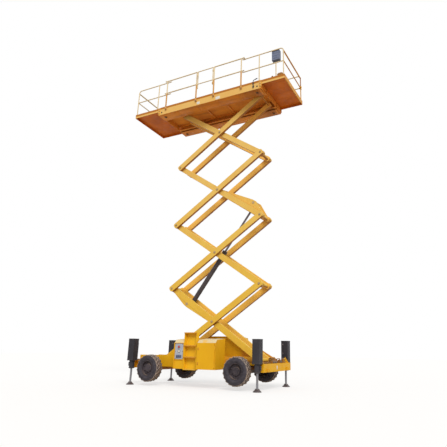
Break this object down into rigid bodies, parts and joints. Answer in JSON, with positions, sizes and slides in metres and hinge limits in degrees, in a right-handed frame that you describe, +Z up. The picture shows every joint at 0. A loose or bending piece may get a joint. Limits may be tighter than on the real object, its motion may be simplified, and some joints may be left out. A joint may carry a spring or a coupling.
{
  "type": "scissor lift",
  "caption": "Rough terrain scissor lift with crossed arm stack, lift cylinder, railed platform with sliding end decks, lugged wheels, steering and corner jacks.",
  "frame": {"origin": "on the ground under the middle of the extended platform, which is 0.142 m behind the middle of the chassis", "axes": "+X towards the steered end, +Y away from the ladder side, +Z up"},
  "size_m": [6.13, 2.29, 10.6681],
  "materials": {
    "yellow_paint": "satin golden yellow paint",
    "rail_paint": "satin pale yellow paint",
    "dark_paint": "dark grey paint",
    "bare_steel": "turned steel",
    "floor_metal": "worn painted tread plate",
    "tank_paint": "grey paint",
    "control_grey": "matt blue grey",
    "panel_grey": "pale blue grey plate",
    "tyre_rubber": "matt black rubber",
    "rim_paint": "dark grey paint"
  },
  "bodies": {
    "chassis": {"chassis_frame": "yellow_paint", "tie_lugs": "yellow_paint", "front_axle": "dark_paint", "rear_axle": "dark_paint", "jack_housings": "dark_paint", "power_box": "yellow_paint", "engine": "dark_paint", "tank_box": "yellow_paint", "tank": "tank_paint", "control_cabinet": "yellow_paint", "control_panel": "panel_grey", "ladder": "yellow_paint", "valve_block": "dark_paint"},
    "power_door": {"power_door": "yellow_paint"},
    "tank_door": {"tank_door": "yellow_paint"},
    "knuckle_near": {"knuckle_near": "dark_paint"},
    "knuckle_far": {"knuckle_far": "dark_paint"},
    "tie_rod": {"tie_rod": "bare_steel"},
    "wheel_front_near": {"tyre_front_near": "tyre_rubber", "rim_front_near": "rim_paint"},
    "wheel_front_far": {"tyre_front_far": "tyre_rubber", "rim_front_far": "rim_paint"},
    "wheel_rear_near": {"tyre_rear_near": "tyre_rubber", "rim_rear_near": "rim_paint"},
    "wheel_rear_far": {"tyre_rear_far": "tyre_rubber", "rim_rear_far": "rim_paint"},
    "jack_front_near": {"jack_rod_front_near": "bare_steel"},
    "jack_front_far": {"jack_rod_front_far": "bare_steel"},
    "jack_rear_near": {"jack_rod_rear_near": "bare_steel"},
    "jack_rear_far": {"jack_rod_rear_far": "bare_steel"},
    "b1": {"arm_b1": "yellow_paint"},
    "a1": {"arm_a1": "yellow_paint", "pins_a1": "bare_steel", "base_rollers": "bare_steel"},
    "a2": {"arm_a2": "yellow_paint", "pins_a2": "bare_steel"},
    "b2": {"arm_b2": "yellow_paint"},
    "b3": {"arm_b3": "yellow_paint"},
    "a3": {"arm_a3": "yellow_paint", "pins_a3": "bare_steel"},
    "a4": {"arm_a4": "yellow_paint", "pins_a4": "bare_steel"},
    "b4": {"arm_b4": "yellow_paint", "deck_rollers": "bare_steel"},
    "barrel": {"lift_barrel": "dark_paint"},
    "rod": {"lift_rod": "bare_steel"},
    "deck": {"deck_frame": "yellow_paint", "deck_floor": "floor_metal", "rails_near": "rail_paint", "rails_far": "rail_paint"},
    "gate": {"gate": "rail_paint"},
    "rear_extension": {"rear_deck": "yellow_paint", "rear_rails": "rail_paint"},
    "front_extension": {"front_deck": "yellow_paint", "front_rails": "rail_paint", "platform_box": "control_grey"}
  },
  "joints": [
    {"name": "lift", "type": "hinge", "parent": "chassis", "child": "b1", "pos_m": [1.982, 0, 0.769], "axis": [0, 1, 0], "range_deg": [-31.1, 10.6]},
    {"name": "a1_centre", "type": "hinge", "parent": "b1", "child": "a1", "pos_m": [0.41016, 0, 1.84526], "axis": [0, 1, 0], "range_deg": [-21.3, 62.3]},
    {"name": "a2_tip", "type": "hinge", "parent": "b1", "child": "a2", "pos_m": [-1.16168, 0, 2.92152], "axis": [0, 1, 0], "range_deg": [-21.3, 62.3]},
    {"name": "b2_centre", "type": "hinge", "parent": "a2", "child": "b2", "pos_m": [0.41016, 0, 3.99779], "axis": [0, 1, 0], "range_deg": [-62.3, 21.3]},
    {"name": "b3_tip", "type": "hinge", "parent": "a2", "child": "b3", "pos_m": [1.982, 0, 5.07405], "axis": [0, 1, 0], "range_deg": [-62.3, 21.3]},
    {"name": "a3_centre", "type": "hinge", "parent": "b3", "child": "a3", "pos_m": [0.41016, 0, 6.15031], "axis": [0, 1, 0], "range_deg": [-21.3, 62.3]},
    {"name": "a4_tip", "type": "hinge", "parent": "b3", "child": "a4", "pos_m": [-1.16168, 0, 7.22657], "axis": [0, 1, 0], "range_deg": [-21.3, 62.3]},
    {"name": "b4_centre", "type": "hinge", "parent": "a4", "child": "b4", "pos_m": [0.41016, 0, 8.30283], "axis": [0, 1, 0], "range_deg": [-62.3, 21.3]},
    {"name": "deck_pivot", "type": "hinge", "parent": "a4", "child": "deck", "pos_m": [1.982, 0, 9.3791], "axis": [0, 1, 0], "range_deg": [-31.2, 10.7]},
    {"name": "barrel_pivot", "type": "hinge", "parent": "b1", "child": "barrel", "pos_m": [-0.61211, 0, 2.41434], "axis": [0, -1, 0], "range_deg": [-67.28, 23]},
    {"name": "rod_slide", "type": "slide", "parent": "barrel", "child": "rod", "axis": [0.5845, 0, 0.8114], "range_m": [-1.2939, 0.4423]},
    {"name": "rear_extension_slide", "type": "slide", "parent": "deck", "child": "rear_extension", "axis": [1, 0, 0], "range_m": [0, 1.1]},
    {"name": "front_extension_slide", "type": "slide", "parent": "deck", "child": "front_extension", "axis": [-1, 0, 0], "range_m": [0, 0.82]},
    {"name": "gate_hinge", "type": "hinge", "parent": "deck", "child": "gate", "pos_m": [0.369, -0.924, 10.1791], "axis": [0, 0, -1], "range_deg": [0, 90]},
    {"name": "power_door_hinge", "type": "hinge", "parent": "chassis", "child": "power_door", "pos_m": [0.968, -1.072, 0.9], "axis": [0, 0, 1], "range_deg": [0, 110]},
    {"name": "tank_door_hinge", "type": "hinge", "parent": "chassis", "child": "tank_door", "pos_m": [0.968, 1.072, 0.9], "axis": [0, 0, -1], "range_deg": [0, 110]},
    {"name": "steer", "type": "hinge", "parent": "chassis", "child": "knuckle_near", "pos_m": [1.622, -0.787, 0.485], "axis": [0, 0, 1], "range_deg": [-35, 35]},
    {"name": "steer_far", "type": "hinge", "parent": "chassis", "child": "knuckle_far", "pos_m": [1.622, 0.787, 0.485], "axis": [0, 0, 1], "range_deg": [-35.1, 35.1]},
    {"name": "tie_rod_pivot", "type": "hinge", "parent": "knuckle_near", "child": "tie_rod", "pos_m": [1.432, -0.787, 0.4], "axis": [0, 0, 1], "range_deg": [-35.1, 35.1]},
    {"name": "wheel_front_near_spin", "type": "hinge", "parent": "knuckle_near", "child": "wheel_front_near", "pos_m": [1.622, -0.967, 0.485], "axis": [0, 1, 0], "continuous": true},
    {"name": "wheel_front_far_spin", "type": "hinge", "parent": "knuckle_far", "child": "wheel_front_far", "pos_m": [1.622, 0.967, 0.485], "axis": [0, 1, 0], "continuous": true},
    {"name": "wheel_rear_near_spin", "type": "hinge", "parent": "chassis", "child": "wheel_rear_near", "pos_m": [-1.338, -0.967, 0.485], "axis": [0, 1, 0], "continuous": true},
    {"name": "wheel_rear_far_spin", "type": "hinge", "parent": "chassis", "child": "wheel_rear_far", "pos_m": [-1.338, 0.967, 0.485], "axis": [0, 1, 0], "continuous": true},
    {"name": "jack_front_near_slide", "type": "slide", "parent": "chassis", "child": "jack_front_near", "axis": [0, 0, 1], "range_m": [0, 0.36]},
    {"name": "jack_front_far_slide", "type": "slide", "parent": "chassis", "child": "jack_front_far", "axis": [0, 0, 1], "range_m": [0, 0.36]},
    {"name": "jack_rear_near_slide", "type": "slide", "parent": "chassis", "child": "jack_rear_near", "axis": [0, 0, 1], "range_m": [0, 0.36]},
    {"name": "jack_rear_far_slide", "type": "slide", "parent": "chassis", "child": "jack_rear_far", "axis": [0, 0, 1], "range_m": [0, 0.36]}
  ],
  "couplings": [
    {"joint": "a1_centre", "follows": "lift", "ratio": -2},
    {"joint": "a2_tip", "follows": "lift", "ratio": -2},
    {"joint": "b2_centre", "follows": "lift", "ratio": 2},
    {"joint": "b3_tip", "follows": "lift", "ratio": 2},
    {"joint": "a3_centre", "follows": "lift", "ratio": -2},
    {"joint": "a4_tip", "follows": "lift", "ratio": -2},
    {"joint": "b4_centre", "follows": "lift", "ratio": 2},
    {"joint": "deck_pivot", "follows": "lift", "ratio": 1},
    {"joint": "barrel_pivot", "follows": "lift", "ratio": 2.16},
    {"joint": "rod_slide", "follows": "lift", "m_per_rad": 2.38},
    {"joint": "steer_far", "follows": "steer", "ratio": 1},
    {"joint": "tie_rod_pivot", "follows": "steer", "ratio": -1}
  ]
}
